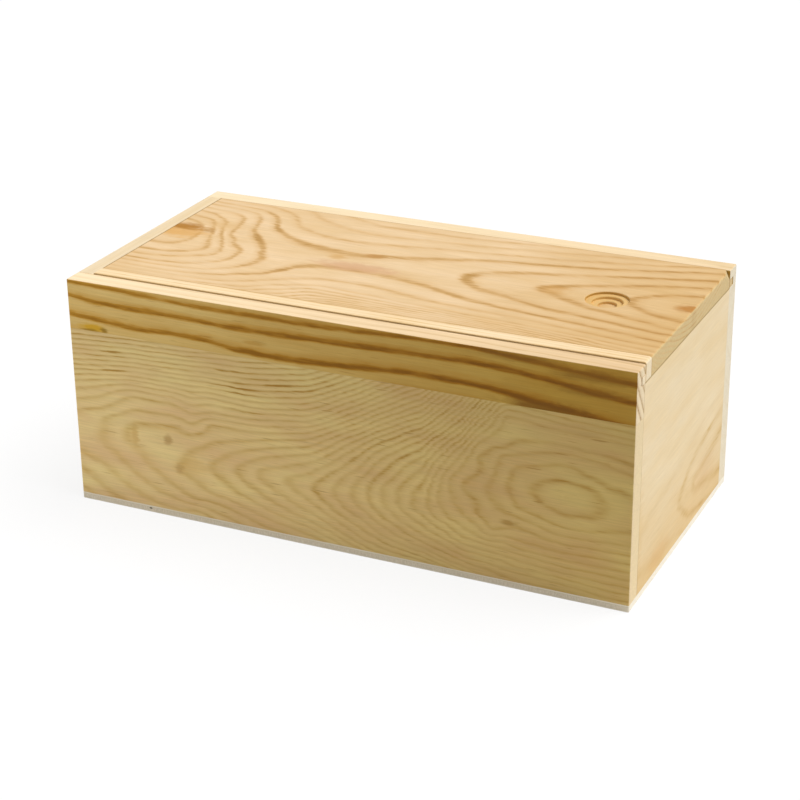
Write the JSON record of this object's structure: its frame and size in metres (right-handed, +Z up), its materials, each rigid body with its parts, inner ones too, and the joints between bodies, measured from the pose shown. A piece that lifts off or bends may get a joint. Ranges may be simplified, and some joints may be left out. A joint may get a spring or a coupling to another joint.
{
  "type": "sliding lid wooden box",
  "caption": "Rectangular pine box on a thin plywood bottom, with a flat lid that slides out along grooves in the side walls and has a stepped finger recess.",
  "frame": {"origin": "middle of the underside of the bottom panel, on the surface that the box stands on", "axes": "+X towards the end that the lid slides out of, +Z up, -Y towards the long wall that is glued up from two boards"},
  "size_m": [0.33, 0.168, 0.1346],
  "materials": {
    "plywood": "sanded, unfinished",
    "pine_wall": "sanded, unfinished",
    "pine_wall_banded": "sanded, unfinished",
    "pine_pale": "sanded, unfinished",
    "pine_lid": "sanded, unfinished",
    "brad_wire": "bright drawn wire"
  },
  "bodies": {
    "box": {"bottom_panel": "plywood", "front_wall_lower_board": "pine_wall", "front_wall_upper_board": "pine_wall_banded", "back_wall_board": "pine_wall", "closed_end_board": "pine_wall_banded", "open_end_board": "pine_pale", "bottom_brads": "brad_wire"},
    "lid": {"lid_board": "pine_lid", "lid_edge_strip": "pine_pale"}
  },
  "joints": [
    {"name": "lid_slide", "type": "slide", "parent": "box", "child": "lid", "axis": [1, 0, 0], "range_m": [0, 0.322]}
  ]
}
